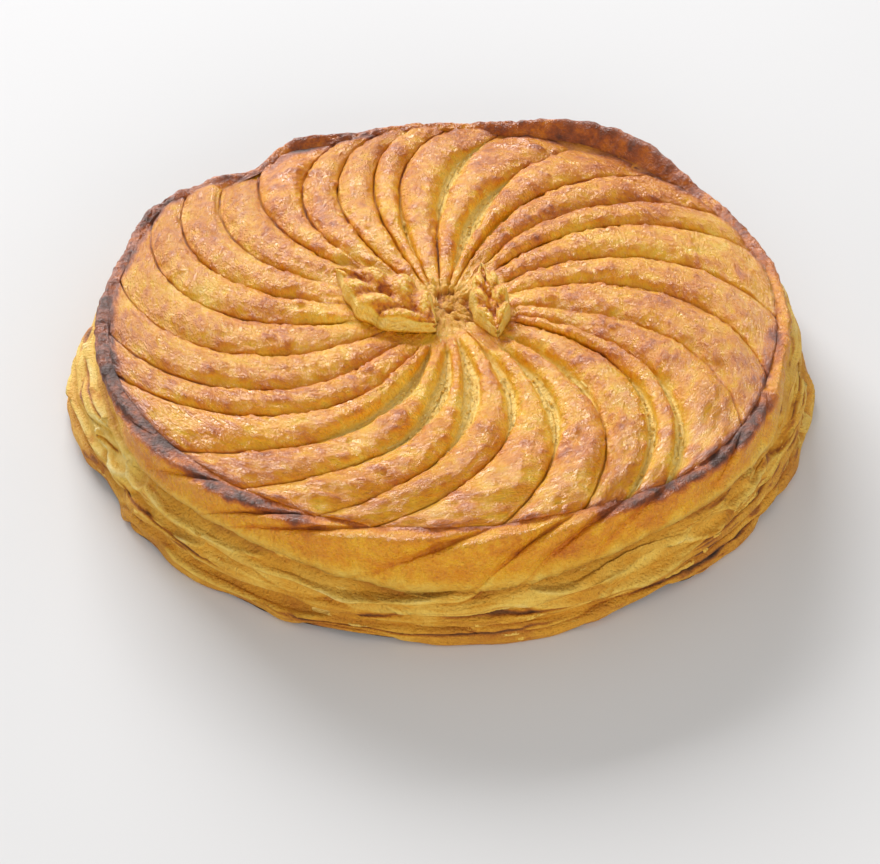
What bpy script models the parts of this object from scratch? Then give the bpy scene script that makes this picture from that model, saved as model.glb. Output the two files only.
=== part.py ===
"""Galette des rois: a round puff pastry pie, scored in a swirl, with two pastry leaves on top.

Metres and +Z up. The pie rests on z = 0 and its box is centred on the origin. Bearings are degrees
from +X, anticlockwise from above, measured round the middle of the swirl. The crust is one turned
body. Its lid, its lip and its flaky wall are then shaped by functions of two numbers: the column,
which counts the baker's cuts round the pie, and the path, which runs from the middle of the lid (0)
over the crease round it (1) and the edge of the lip (2) down the wall to the ground (3).
"""
import math

import bpy
import numpy as np
from mathutils import Matrix

COLLECTION = "galette_des_rois"

# ---- the pie: driving dimensions --------------------------------------------------------------
BASE_RADIUS = 0.1200      # the bottom sheet
RIM_RADIUS = 0.1115       # the lid out to its edge, where it isn't folded out
LIP_WIDTH = 0.0035        # from the crease in the lid out to that edge
RIM_HEIGHT = 0.0325       # the crease, half way between its high and its low side
LEAN = 0.045              # rise of the lid for each metre towards -Y, where the pie puffed more
DOME_RISE = 0.0042        # the lid's crown above the crease
DOME_POWER = 8            # a flat crown that falls off near the crease
HOLLOW_DEPTH = 0.0032     # the dip in the middle, where all the cuts meet
HOLLOW_RADIUS = 0.031
SWIRL_MIDDLE = (0.00135, 0.00073)   # the middle of the swirl, from the middle of the pie's box

# ---- the cuts and the leaves of pastry between them -------------------------------------------
CUT_RADIUS = 0.060        # where each cut has its first bearing below
SWING_RADIUS = 0.100      # where it has turned clockwise by its whole swing
SWING_POWER = 2.5         # nearly straight at the middle, more and more bent outwards
LEAF_RISE = 0.0030        # crest of a leaf above its cuts
LEAF_BODY = 0.6           # share of that rise that lies below the smooth dome
LEAF_ROUND = 3.2          # 2 is a round back, more is flatter with steeper flanks
LEAF_START = (0.006, 0.036)    # the leaves rise from nothing to all of that between these radii
LEAF_END = 0.020          # and lose a share of it on this last stretch to the crease
LEAF_LOSS = 0.55
COLUMN_CROWD = 0.53       # how far the columns crowd towards the cuts
# bearing and swing in degrees
CUTS = (
    (8.5, 22), (25, 22), (41.5, 18.5), (52.5, 17.5), (65, 15), (76, 10), (90, 8.5),
    (103.5, 10.5), (111, 11), (122.5, 15.5), (134, 19), (143, 14), (158, 19), (172.5, 21.5),
    (188, 25.5), (207, 29), (226, 32), (240, 33), (251.5, 23.5), (265, 22), (277, 19.5),
    (290.5, 22.5), (302, 17), (314, 16), (329, 21), (335.5, 19.5), (349, 16.5),
)
# number of a cut that gapes: its width, and the radius where it is widest
GAPES = {
    4: (0.0012, 0.045), 5: (0.0055, 0.050), 6: (0.0035, 0.075), 7: (0.0012, 0.045),
    18: (0.0050, 0.052), 19: (0.0055, 0.050), 20: (0.0055, 0.048), 21: (0.0030, 0.050),
    22: (0.0040, 0.058), 23: (0.0025, 0.050), 24: (0.0025, 0.093), 25: (0.0022, 0.096),
}
GAPE_REACH = 0.038        # it closes this far in and out from there
CUT_COUNT = len(CUTS)
COLUMNS_PER_LEAF = 5

# ---- the lip and the wall ---------------------------------------------------------------------
LIP_CREST = 0.0010        # the lip's back above the crease
CREST_PLACE = 0.45        # where that back is highest, as a share of the way to the lip's edge
CREST_ROUND = 0.6         # below 1 the back is broader than a cosine
LIP_TURN = (0.8, 2.2)     # powers by which the lip runs outwards first and downwards later
LIP_HANG = 0.06           # share of the wall's height that it covers where it isn't folded down
SIDE_HANG = 0.22          # more than that along the whole high side
SIDE_SPAN = (198, 216, 328, 346)    # bearings where that fold begins, is full, lessens and ends
LIP_LEAF_RISE = 0.0016    # the leaves of the lid run on over the folded lip
TUCK = 0.0014             # how far the wall goes in under the lip's edge
SHEET_BULGE = 0.0014      # how far the puffed upper sheet of the wall stands out
SHEET_BELLY = 0.36        # how far down the wall that shows it is fullest
GAP_DEPTH = 0.0020
GAP_DRIFT = (1.0, -0.6)   # how much of the waves below each gap follows
UPPER_GAP = (0.45, 0.07)  # how far down the wall that shows each gap is, and how wide
LOWER_GAP = (0.73, 0.05)
FOOT_REACHED = 0.75       # the wall has spread out to the base's outline this far down
FOOT_INSET = (0.92, 0.0015)    # from this far down, and how much smaller the flat underside is

# ---- how the outlines depart from circles: bearing, half width in degrees, and how much -------
RIM_SWELLS = (
    (58, 28, 0.0055),     # the lid is folded out at the back
    (92, 22, 0.0025),
    (116, 9, 0.0025),     # a small turned corner, and the nick beside it
    (127, 8, -0.0045),
    (147, 17, 0.0048),
    (262, 50, 0.0055),    # the high side spreads over the wall
    (312, 34, 0.0055),
)
LIP_SWELLS = ((58, 30, 0.0050), (115, 10, 0.0020), (262, 50, 0.0028), (312, 34, 0.0010))
BASE_SWELLS = ((184, 16, 0.0028), (207, 12, -0.0018), (275, 40, 0.0016))
UPTURNS = ((60, 30, 0.0070), (115, 12, 0.0018))    # where the lip stands up, and how high
FRONT_HANG = ((272, 38, 0.17),)    # more hang in the middle of the high side
GAP_WAVES = ((3, 40, 0.05), (7, 0, 0.04))    # waves round the pie, phase, and share of the wall

# ---- the pastry leaves on the lid -------------------------------------------------------------
# middle, length, width, thickness, and the bearing of the tip
LEAVES = {
    "leaf_broad": ((-0.0185, 0.0005), 0.0440, 0.0240, 0.0075, 138.0),
    "leaf_slim": ((0.0150, 0.0000), 0.0390, 0.0125, 0.0070, 97.0),
}
LEAF_GAP = 0.0003
LEAF_SEGMENTS = 20
LEAF_RINGS = 20
LEAF_SQUARENESS = 7       # 2 is a round section, more has steeper sides and a flatter top
LEAF_TAPER = 0.30         # how much narrower it is towards its tip than towards its stalk
LEAF_POINT = 1.1          # 0.5 is a round end, 1 and more a pointed one
TIP_THICKNESS = 0.45      # of the whole thickness
TIP_FULLNESS = 0.001      # below this the leaf ends in one point
MIDRIB_DEPTH = 0.0022
MIDRIB_WIDTH = 0.20       # of half the width
VEIN_DEPTH = 0.0007
VEIN_PAIRS = 4
VEIN_SLANT = 0.30         # how far a vein runs towards the tip on its way to the edge
LOBE_DEPTH = 0.06         # the edge is notched between the veins
SEAT_REACH = 1.20         # the lid has no relief under a leaf, out to this share of its size
SEAT_EDGE = 0.35          # and its relief grows back over this share more


# ---- helpers ----------------------------------------------------------------------------------
def away(bearing, middle):
    """Degrees between two bearings, from -180 to 180."""
    return (bearing - middle + 180.0) % 360.0 - 180.0


def hump(offset, half_width):
    """1 where the offset is 0, and smoothly down to 0 at the half width."""
    return 0.5 + 0.5 * np.cos(math.pi * np.clip(offset / half_width, -1.0, 1.0))


def swells(places, bearing):
    """The sum of humps at the bearings that a table names."""
    return sum(size * hump(away(bearing, middle), half) for middle, half, size in places)


def ramp(value, low, high):
    """A smooth step from 0 at low to 1 at high."""
    share = np.clip((value - low) / (high - low), 0.0, 1.0)
    return share * share * (3.0 - 2.0 * share)


def mix(first, second, share):
    return first + (second - first) * share


def polar(radius, bearing):
    turn = np.radians(bearing)
    return radius * np.cos(turn), radius * np.sin(turn)


# ---- the outlines of the pie ------------------------------------------------------------------
def rim_radius(bearing):
    """The lid's edge."""
    return RIM_RADIUS + swells(RIM_SWELLS, bearing)


def crease_radius(bearing):
    return rim_radius(bearing) - LIP_WIDTH - swells(LIP_SWELLS, bearing)


def base_radius(bearing):
    return BASE_RADIUS + swells(BASE_SWELLS, bearing)


def crease_height(x, y):
    return RIM_HEIGHT - LEAN * y


def lip_hang(bearing):
    """Share of the wall's height that the lip covers: it is folded down along the high side."""
    begins, full, lessens, ends = SIDE_SPAN
    along_side = ramp(bearing % 360.0, begins, full) * (1.0 - ramp(bearing % 360.0, lessens, ends))
    return LIP_HANG + SIDE_HANG * along_side + swells(FRONT_HANG, bearing)


# ---- the cuts ---------------------------------------------------------------------------------
def sweep(radius):
    """How much of its swing a cut has made at this radius."""
    start = (CUT_RADIUS / SWING_RADIUS) ** SWING_POWER
    return ((radius / SWING_RADIUS) ** SWING_POWER - start) / (1.0 - start)


def column_bearing(column, radius):
    """The bearing of a column, which runs evenly between its two cuts."""
    table = np.array(CUTS, dtype=float)
    before = np.floor(column).astype(int) % CUT_COUNT
    after = (before + 1) % CUT_COUNT
    share = column - np.floor(column)
    bearing = table[before, 0] + share * away(table[after, 0], table[before, 0])
    return bearing - mix(table[before, 1], table[after, 1], share) * sweep(radius)


def gape(number, radius):
    """Half the width of a cut at a radius."""
    width = np.array([GAPES.get(index, (0.0, 0.0))[0] for index in range(CUT_COUNT)])
    middle = np.array([GAPES.get(index, (0.0, 0.0))[1] for index in range(CUT_COUNT)])
    return 0.5 * width[number] * hump(radius - middle[number], GAPE_REACH)


def leaf_back(column, radius):
    """Height across a leaf, 0 in its cuts and 1 on its crest."""
    before = np.floor(column).astype(int) % CUT_COUNT
    after = (before + 1) % CUT_COUNT
    share = column - np.floor(column)
    table = np.array(CUTS, dtype=float)
    leaf_width = np.radians(away(table[after, 0], table[before, 0])) * np.maximum(radius, LEAF_START[0])
    left = gape(before, radius) / leaf_width
    right = gape(after, radius) / leaf_width
    inner = np.clip((share - left) / (1.0 - left - right), 0.0, 1.0)
    return 1.0 - np.abs(2.0 * inner - 1.0) ** LEAF_ROUND


def crowd(column):
    """Moves evenly spaced columns towards the cuts, where the relief is steep."""
    share = column - np.floor(column)
    return column - COLUMN_CROWD * np.sin(2.0 * math.pi * share) / (2.0 * math.pi)


# ---- the lid ----------------------------------------------------------------------------------
def dome_height(x, y, rim):
    """The lid without its cuts."""
    radius = np.hypot(x, y)
    crown = DOME_RISE * (1.0 - np.clip(radius / rim, 0.0, 1.0) ** DOME_POWER)
    return crease_height(x, y) + crown - HOLLOW_DEPTH * np.exp(-(radius / HOLLOW_RADIUS) ** 2)


def seat_share(x, y):
    """1 under the pastry leaves and 0 clear of them."""
    share = np.zeros_like(x)
    for (middle_x, middle_y), length, width, _thickness, bearing in LEAVES.values():
        turn = math.radians(bearing)
        along = (x - middle_x) * math.cos(turn) + (y - middle_y) * math.sin(turn)
        across = -(x - middle_x) * math.sin(turn) + (y - middle_y) * math.cos(turn)
        reach = np.hypot(along / (0.5 * length), across / (0.5 * width))
        share = np.maximum(share, 1.0 - ramp(reach, SEAT_REACH, SEAT_REACH + SEAT_EDGE))
    return share


def lid_surface(column, path):
    """The lid, from its middle (path 0) to the crease (path 1)."""
    rim = crease_radius(column_bearing(column, RIM_RADIUS))
    radius = rim * path
    x, y = polar(radius, column_bearing(column, radius))
    grown = ramp(radius, *LEAF_START) * (1.0 - LEAF_LOSS * ramp(radius, rim - LEAF_END, rim))
    relief = LEAF_RISE * grown * (leaf_back(column, radius) - LEAF_BODY)
    return x, y, dome_height(x, y, rim) + relief * (1.0 - seat_share(x, y))


# ---- the lip and the wall ---------------------------------------------------------------------
def edge_of_lip(bearing):
    """Radius and height of the lip's lower edge."""
    crease_x, crease_y = polar(crease_radius(bearing), bearing)
    left = 1.0 - lip_hang(bearing)
    radius = np.maximum(mix(base_radius(bearing), rim_radius(bearing), left ** 2), rim_radius(bearing))
    return radius, crease_height(crease_x, crease_y) * left


def outer_bearing(column, path):
    """The bearing of a column beyond the crease: it keeps turning down to the lip's edge."""
    at_crease = column_bearing(column, RIM_RADIUS)
    length = LIP_WIDTH + lip_hang(at_crease) * RIM_HEIGHT
    return column_bearing(column, RIM_RADIUS + length * np.clip(path - 1.0, 0.0, 1.0))


def lip_surface(column, path):
    """The lip, from the crease (path 1) over its back to its lower edge (path 2)."""
    bearing = outer_bearing(column, path)
    reach = np.clip(path - 1.0, 0.0, 1.0)
    crease = crease_radius(bearing)
    edge_radius, edge_height = edge_of_lip(bearing)
    height = crease_height(*polar(crease, bearing))
    crest = hump(reach - CREST_PLACE, 1.0 - CREST_PLACE)
    back = (LIP_CREST + swells(UPTURNS, bearing)) * crest ** CREST_ROUND
    leaves = LIP_LEAF_RISE * (leaf_back(column, RIM_RADIUS) - LEAF_BODY) * crest
    leaves = leaves * lip_hang(bearing) / (LIP_HANG + SIDE_HANG)
    outwards, downwards = LIP_TURN
    radius = mix(crease, edge_radius, np.sin(0.5 * math.pi * reach) ** outwards) + leaves
    x, y = polar(radius, bearing)
    return x, y, mix(height, edge_height, reach ** downwards) + back + leaves


def flakes(bearing, fall):
    """In and out of the wall: puffed sheets between two wandering gaps, and the foot's inset."""
    wander = sum(size * np.sin(np.radians(count * bearing + phase)) for count, phase, size in GAP_WAVES)
    gaps = 0.0
    for (place, width), drift in zip((UPPER_GAP, LOWER_GAP), GAP_DRIFT):
        gaps = gaps + np.exp(-((fall - place - drift * wander) / width) ** 2)
    bulge = SHEET_BULGE * hump(fall - SHEET_BELLY, SHEET_BELLY)
    return bulge - GAP_DEPTH * gaps - FOOT_INSET[1] * ramp(fall, FOOT_INSET[0], 1.0)


def wall_surface(column, path):
    """The flaky wall, from under the lip's edge (path 2) to the ground (path 3)."""
    bearing = outer_bearing(column, path)
    fall = np.clip(path - 2.0, 0.0, 1.0)
    top_radius, top_height = edge_of_lip(bearing)
    straight = mix(top_radius - TUCK, base_radius(bearing), ramp(fall, 0.0, FOOT_REACHED))
    x, y = polar(straight + flakes(bearing, fall), bearing)
    return x, y, mix(top_height, 0.0, fall)


def crust_surface(column, path):
    """Points of the crust for arrays of columns and paths, in the pie's frame."""
    lid, lip, wall = (np.stack(shape(column, path), axis=-1)
                      for shape in (lid_surface, lip_surface, wall_surface))
    points = np.where((path <= 1.0)[:, None], lid, np.where((path <= 2.0)[:, None], lip, wall))
    return points + (*SWIRL_MIDDLE, 0.0)


# ---- the crust --------------------------------------------------------------------------------
LID_PATHS = (0.0, 0.06, 0.12, 0.19, 0.27, 0.36, 0.46, 0.56, 0.66, 0.76, 0.85, 0.93, 1.0)
LIP_PATHS = (1.15, 1.4, 1.7, 2.0)
WALL_PATHS = (2.04, 2.22, 2.38, 2.45, 2.52, 2.64, 2.73, 2.79, 2.9, 3.0)
UNDERSIDE_PATH = 4.0


def crust_profile():
    """Half section of the plain turned body, top to bottom: radius, height and path."""
    points = [(RIM_RADIUS * path, RIM_HEIGHT, path) for path in LID_PATHS]
    for path in LIP_PATHS + WALL_PATHS:
        down = (path - 1.0) / 2.0
        points.append((mix(RIM_RADIUS, BASE_RADIUS, down), RIM_HEIGHT * (1.0 - down), path))
    points.append((0.0, 0.0, UNDERSIDE_PATH))
    return points


def turned_crust(steps):
    """The mesh of the turned body, with each vertex's path as an attribute."""
    points = crust_profile()
    mesh = bpy.data.meshes.new("crust_profile")
    edges = [(index, index + 1) for index in range(len(points) - 1)]
    mesh.from_pydata([(radius, 0.0, height) for radius, height, _path in points], edges, [])
    attribute = mesh.attributes.new("path", "FLOAT", "POINT")
    attribute.data.foreach_set("value", [path for _radius, _height, path in points])
    profile = bpy.data.objects.new("crust_profile", mesh)
    bpy.context.scene.collection.objects.link(profile)
    screw = profile.modifiers.new("turn", "SCREW")
    screw.steps = steps
    screw.render_steps = steps
    screw.use_merge_vertices = True
    screw.merge_threshold = 0.00001
    graph = bpy.context.evaluated_depsgraph_get()
    turned = bpy.data.meshes.new_from_object(profile.evaluated_get(graph))
    bpy.data.objects.remove(profile)
    return turned


def shape_crust(mesh):
    """Moves the turned body's vertices onto the crust's surface."""
    count = len(mesh.vertices)
    flat = np.empty(3 * count)
    mesh.vertices.foreach_get("co", flat)
    turned = flat.reshape(count, 3)
    path = np.empty(count)
    mesh.attributes["path"].data.foreach_get("value", path)
    turn = np.arctan2(turned[:, 1], turned[:, 0]) / (2.0 * math.pi) % 1.0
    column = np.round(turn * CUT_COUNT * COLUMNS_PER_LEAF) / COLUMNS_PER_LEAF
    shaped = crust_surface(crowd(column), path)
    shaped[path == UNDERSIDE_PATH] = (*SWIRL_MIDDLE, 0.0)
    mesh.vertices.foreach_set("co", shaped.ravel())
    mesh.update()


def make_galette():
    mesh = turned_crust(CUT_COUNT * COLUMNS_PER_LEAF)
    shape_crust(mesh)
    mesh.name = "galette"
    mesh.shade_smooth()
    mesh.materials.append(crust_material())
    return bpy.data.objects.new("galette", mesh)


# ---- the pastry leaves ------------------------------------------------------------------------
def leaf_point(ball, length, width, thickness):
    """Moves a point of the unit ball, whose poles are the tips, onto a leaf that is flat below."""
    along = math.asin(max(-1.0, min(1.0, ball.z))) / (0.5 * math.pi)
    around = math.atan2(ball.y, ball.x)
    side = math.cos(around)
    lift = max(0.0, 1.0 - abs(side) ** LEAF_SQUARENESS) ** 0.5 if around > 0.0 else 0.0
    fullness = 1.0 - along * along
    if fullness < TIP_FULLNESS:
        return 0.5 * length * along, 0.0, 0.5 * TIP_THICKNESS * thickness
    vein = math.cos(math.pi * VEIN_PAIRS * (along - VEIN_SLANT * abs(side)))
    half_width = 0.5 * width * fullness ** LEAF_POINT * (1.0 - LEAF_TAPER * along)
    half_width *= 1.0 - LOBE_DEPTH * vein
    height = thickness * mix(TIP_THICKNESS, 1.0, fullness) * lift
    if lift > 0.0:
        midrib = MIDRIB_DEPTH * math.exp(-(side / MIDRIB_WIDTH) ** 2)
        height -= lift * fullness * (midrib + VEIN_DEPTH * vein)
    return 0.5 * length * along, half_width * side, height


def make_leaf(name):
    """A pointed oval of pastry with a pressed midrib, laid on the dome of the lid."""
    (middle_x, middle_y), length, width, thickness, bearing = LEAVES[name]
    bpy.ops.mesh.primitive_uv_sphere_add(segments=LEAF_SEGMENTS, ring_count=LEAF_RINGS, radius=1.0)
    leaf = bpy.context.object
    leaf.name = name
    leaf.data.name = name
    for vertex in leaf.data.vertices:
        vertex.co = leaf_point(vertex.co, length, width, thickness)
    leaf.data.transform(Matrix.Rotation(math.radians(bearing), 4, "Z"))
    seat = float(dome_height(middle_x, middle_y, RIM_RADIUS))
    for vertex in leaf.data.vertices:
        under = dome_height(middle_x + vertex.co.x, middle_y + vertex.co.y, RIM_RADIUS)
        vertex.co.z += float(under) - seat
    leaf.location = (middle_x + SWIRL_MIDDLE[0], middle_y + SWIRL_MIDDLE[1], seat + LEAF_GAP)
    leaf.data.shade_smooth()
    leaf.data.materials.append(ornament_material())
    return leaf


# ---- materials --------------------------------------------------------------------------------
def pastry(name, colour, roughness):
    material = bpy.data.materials.new(name)
    material.use_nodes = True
    shader = material.node_tree.nodes["Principled BSDF"]
    shader.inputs["Base Color"].default_value = (*colour, 1.0)
    shader.inputs["Roughness"].default_value = roughness
    shader.inputs["Metallic"].default_value = 0.0
    return material


def crust_material():
    return pastry("glazed_crust", (0.60, 0.27, 0.08), 0.35)


def ornament_material():
    return pastry("glazed_leaf", (0.66, 0.33, 0.12), 0.40)


# ---- the scene --------------------------------------------------------------------------------
def main():
    for old in list(bpy.data.objects):
        bpy.data.objects.remove(old)
    collection = bpy.data.collections.new(COLLECTION)
    bpy.context.scene.collection.children.link(collection)
    pieces = [make_galette()] + [make_leaf(name) for name in LEAVES]
    for piece in pieces:
        for holder in list(piece.users_collection):
            holder.objects.unlink(piece)
        collection.objects.link(piece)


main()
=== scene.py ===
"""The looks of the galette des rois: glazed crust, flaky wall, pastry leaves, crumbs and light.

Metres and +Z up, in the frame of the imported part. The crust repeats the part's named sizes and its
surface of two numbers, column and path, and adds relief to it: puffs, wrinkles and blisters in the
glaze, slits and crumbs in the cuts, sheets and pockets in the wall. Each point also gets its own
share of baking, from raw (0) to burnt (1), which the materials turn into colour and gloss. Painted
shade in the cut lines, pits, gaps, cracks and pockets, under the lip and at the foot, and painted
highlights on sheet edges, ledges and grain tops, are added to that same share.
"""

import itertools
import math

import bpy
import numpy as np
from mathutils import Matrix, Vector


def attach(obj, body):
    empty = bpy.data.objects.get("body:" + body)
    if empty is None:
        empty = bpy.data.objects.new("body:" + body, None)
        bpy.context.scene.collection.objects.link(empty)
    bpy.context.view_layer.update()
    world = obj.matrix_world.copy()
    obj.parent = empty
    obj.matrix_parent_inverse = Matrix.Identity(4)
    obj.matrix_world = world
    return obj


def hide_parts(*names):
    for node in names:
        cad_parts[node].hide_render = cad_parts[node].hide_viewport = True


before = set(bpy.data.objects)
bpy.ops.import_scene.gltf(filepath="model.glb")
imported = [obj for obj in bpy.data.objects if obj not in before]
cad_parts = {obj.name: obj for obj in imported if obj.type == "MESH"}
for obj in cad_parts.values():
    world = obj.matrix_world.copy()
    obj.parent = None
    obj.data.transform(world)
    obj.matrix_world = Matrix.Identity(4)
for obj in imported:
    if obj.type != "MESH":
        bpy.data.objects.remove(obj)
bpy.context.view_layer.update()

MM = 0.001

# ---- the pie: driving dimensions --------------------------------------------------------------
BASE_RADIUS = 0.1200      # the bottom sheet
RIM_RADIUS = 0.1115       # the lid out to its edge, where it isn't folded out
LIP_WIDTH = 0.0035        # from the crease in the lid out to that edge
RIM_HEIGHT = 0.0325       # the crease, half way between its high and its low side
LEAN = 0.045              # rise of the lid for each metre towards -Y, where the pie puffed more
DOME_RISE = 0.0042        # the lid's crown above the crease
DOME_POWER = 8            # a flat crown that falls off near the crease
HOLLOW_DEPTH = 0.0032     # the dip in the middle, where all the cuts meet
HOLLOW_RADIUS = 0.031
SWIRL_MIDDLE = (0.00135, 0.00073)   # the middle of the swirl, from the middle of the pie's box

# ---- the cuts and the leaves of pastry between them -------------------------------------------
CUT_RADIUS = 0.060        # where each cut has its first bearing below
SWING_RADIUS = 0.100      # where it has turned clockwise by its whole swing
SWING_POWER = 2.5         # nearly straight at the middle, more and more bent outwards
LEAF_RISE = 0.0030        # crest of a leaf above its cuts
LEAF_BODY = 0.6           # share of that rise that lies below the smooth dome
LEAF_ROUND = 3.2          # 2 is a round back, more is flatter with steeper flanks
LEAF_START = (0.006, 0.036)    # the leaves rise from nothing to all of that between these radii
LEAF_END = 0.020          # and lose a share of it on this last stretch to the crease
LEAF_LOSS = 0.55
COLUMN_CROWD = 0.53       # how far the columns crowd towards the cuts
# bearing and swing in degrees
CUTS = (
    (8.5, 22), (25, 22), (41.5, 18.5), (52.5, 17.5), (65, 15), (76, 10), (90, 8.5),
    (103.5, 10.5), (111, 11), (122.5, 15.5), (134, 19), (143, 14), (158, 19), (172.5, 21.5),
    (188, 25.5), (207, 29), (226, 32), (240, 33), (251.5, 23.5), (265, 22), (277, 19.5),
    (290.5, 22.5), (302, 17), (314, 16), (329, 21), (335.5, 19.5), (349, 16.5),
)
# number of a cut that gapes: its width, and the radius where it is widest
GAPES = {
    4: (0.0012, 0.045), 5: (0.0055, 0.050), 6: (0.0035, 0.075), 7: (0.0012, 0.045),
    18: (0.0050, 0.052), 19: (0.0055, 0.050), 20: (0.0055, 0.048), 21: (0.0030, 0.050),
    22: (0.0040, 0.058), 23: (0.0025, 0.050), 24: (0.0025, 0.093), 25: (0.0022, 0.096),
}
GAPE_REACH = 0.038        # it closes this far in and out from there
CUT_COUNT = len(CUTS)
COLUMNS_PER_LEAF = 5

# ---- the lip and the wall ---------------------------------------------------------------------
LIP_CREST = 0.0010        # the lip's back above the crease
CREST_PLACE = 0.45        # where that back is highest, as a share of the way to the lip's edge
CREST_ROUND = 0.6         # below 1 the back is broader than a cosine
LIP_TURN = (0.8, 2.2)     # powers by which the lip runs outwards first and downwards later
LIP_HANG = 0.06           # share of the wall's height that it covers where it isn't folded down
SIDE_HANG = 0.22          # more than that along the whole high side
SIDE_SPAN = (198, 216, 328, 346)    # bearings where that fold begins, is full, lessens and ends
LIP_LEAF_RISE = 0.0016    # the leaves of the lid run on over the folded lip
LIP_SLANT = 420.0         # degrees per metre that the cuts turn more where they cross the lip
TUCK = 0.0014             # how far the wall goes in under the lip's edge
SHEET_BULGE = 0.0014      # how far the puffed upper sheet of the wall stands out
SHEET_BELLY = 0.36        # how far down the wall that shows it is fullest
GAP_DEPTH = 0.0020
GAP_DRIFT = (1.0, -0.6)   # how much of the waves below each gap follows
UPPER_GAP = (0.45, 0.07)  # how far down the wall that shows each gap is, and how wide
LOWER_GAP = (0.73, 0.05)
FOOT_REACHED = 0.75       # the wall has spread out to the base's outline this far down
FOOT_INSET = (0.92, 0.0015)    # from this far down, and how much smaller the flat underside is

# ---- how the outlines depart from circles: bearing, half width in degrees, and how much -------
RIM_SWELLS = (
    (58, 28, 0.0055),     # the lid is folded out at the back
    (92, 22, 0.0025),
    (116, 9, 0.0025),     # a small turned corner, and the nick beside it
    (127, 8, -0.0045),
    (147, 17, 0.0048),
    (262, 50, 0.0055),    # the high side spreads over the wall
    (312, 34, 0.0055),
)
LIP_SWELLS = ((58, 30, 0.0050), (115, 10, 0.0020), (262, 50, 0.0028), (312, 34, 0.0010))
BASE_SWELLS = ((184, 16, 0.0028), (207, 12, -0.0018), (275, 40, 0.0016))
UPTURNS = ((60, 30, 0.0070), (115, 12, 0.0018))    # where the lip stands up, and how high
FRONT_HANG = ((272, 38, 0.17),)    # more hang in the middle of the high side
GAP_WAVES = ((3, 40, 0.05), (7, 0, 0.04))    # waves round the pie, phase, and share of the wall

# ---- the pastry leaves on the lid -------------------------------------------------------------
# middle, length, width, thickness, and the bearing of the tip
LEAVES = {
    "leaf_broad": ((-0.0185, 0.0005), 0.0440, 0.0240, 0.0075, 138.0),
    "leaf_slim": ((0.0150, 0.0000), 0.0390, 0.0125, 0.0070, 97.0),
}
LEAF_GAP = 0.0003
LEAF_SEGMENTS = 20
LEAF_RINGS = 20
LEAF_SQUARENESS = 7       # 2 is a round section, more has steeper sides and a flatter top
LEAF_TAPER = 0.30         # how much narrower it is towards its tip than towards its stalk
LEAF_POINT = 1.1          # 0.5 is a round end, 1 and more a pointed one
TIP_THICKNESS = 0.45      # of the whole thickness
TIP_FULLNESS = 0.001      # below this the leaf ends in one point
MIDRIB_DEPTH = 0.0022
MIDRIB_WIDTH = 0.20       # of half the width
VEIN_DEPTH = 0.0007
VEIN_PAIRS = 4
VEIN_SLANT = 0.30         # how far a vein runs towards the tip on its way to the edge
LOBE_DEPTH = 0.06         # the edge is notched between the veins
SEAT_REACH = 1.20         # the lid has no relief under a leaf, out to this share of its size
SEAT_EDGE = 0.35          # and its relief grows back over this share more



# ---- helpers ----------------------------------------------------------------------------------
def away(bearing, middle):
    """Degrees between two bearings, from -180 to 180."""
    return (bearing - middle + 180.0) % 360.0 - 180.0


def hump(offset, half_width):
    """1 where the offset is 0, and smoothly down to 0 at the half width."""
    return 0.5 + 0.5 * np.cos(math.pi * np.clip(offset / half_width, -1.0, 1.0))


def swells(places, bearing):
    """The sum of humps at the bearings that a table names."""
    return sum(size * hump(away(bearing, middle), half) for middle, half, size in places)


def ramp(value, low, high):
    """A smooth step from 0 at low to 1 at high."""
    share = np.clip((value - low) / (high - low), 0.0, 1.0)
    return share * share * (3.0 - 2.0 * share)


def mix(first, second, share):
    return first + (second - first) * share


def polar(radius, bearing):
    turn = np.radians(bearing)
    return radius * np.cos(turn), radius * np.sin(turn)


# ---- the outlines of the pie ------------------------------------------------------------------
def rim_radius(bearing):
    """The lid's edge."""
    return RIM_RADIUS + swells(RIM_SWELLS, bearing)


def crease_radius(bearing):
    return rim_radius(bearing) - LIP_WIDTH - swells(LIP_SWELLS, bearing)


def base_radius(bearing):
    return BASE_RADIUS + swells(BASE_SWELLS, bearing)


def crease_height(x, y):
    return RIM_HEIGHT - LEAN * y


def lip_hang(bearing):
    """Share of the wall's height that the lip covers: it is folded down along the high side."""
    begins, full, lessens, ends = SIDE_SPAN
    along_side = ramp(bearing % 360.0, begins, full) * (1.0 - ramp(bearing % 360.0, lessens, ends))
    return LIP_HANG + SIDE_HANG * along_side + swells(FRONT_HANG, bearing)


# ---- the cuts ---------------------------------------------------------------------------------
def sweep(radius):
    """How much of its swing a cut has made at this radius."""
    start = (CUT_RADIUS / SWING_RADIUS) ** SWING_POWER
    return ((radius / SWING_RADIUS) ** SWING_POWER - start) / (1.0 - start)


def column_bearing(column, radius):
    """The bearing of a column, which runs evenly between its two cuts."""
    table = np.array(CUTS, dtype=float)
    before = np.floor(column).astype(int) % CUT_COUNT
    after = (before + 1) % CUT_COUNT
    share = column - np.floor(column)
    bearing = table[before, 0] + share * away(table[after, 0], table[before, 0])
    return bearing - mix(table[before, 1], table[after, 1], share) * sweep(radius)


def gape(number, radius):
    """Half the width of a cut at a radius."""
    width = np.array([GAPES.get(index, (0.0, 0.0))[0] for index in range(CUT_COUNT)])
    middle = np.array([GAPES.get(index, (0.0, 0.0))[1] for index in range(CUT_COUNT)])
    return 0.5 * width[number] * hump(radius - middle[number], GAPE_REACH)


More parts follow.
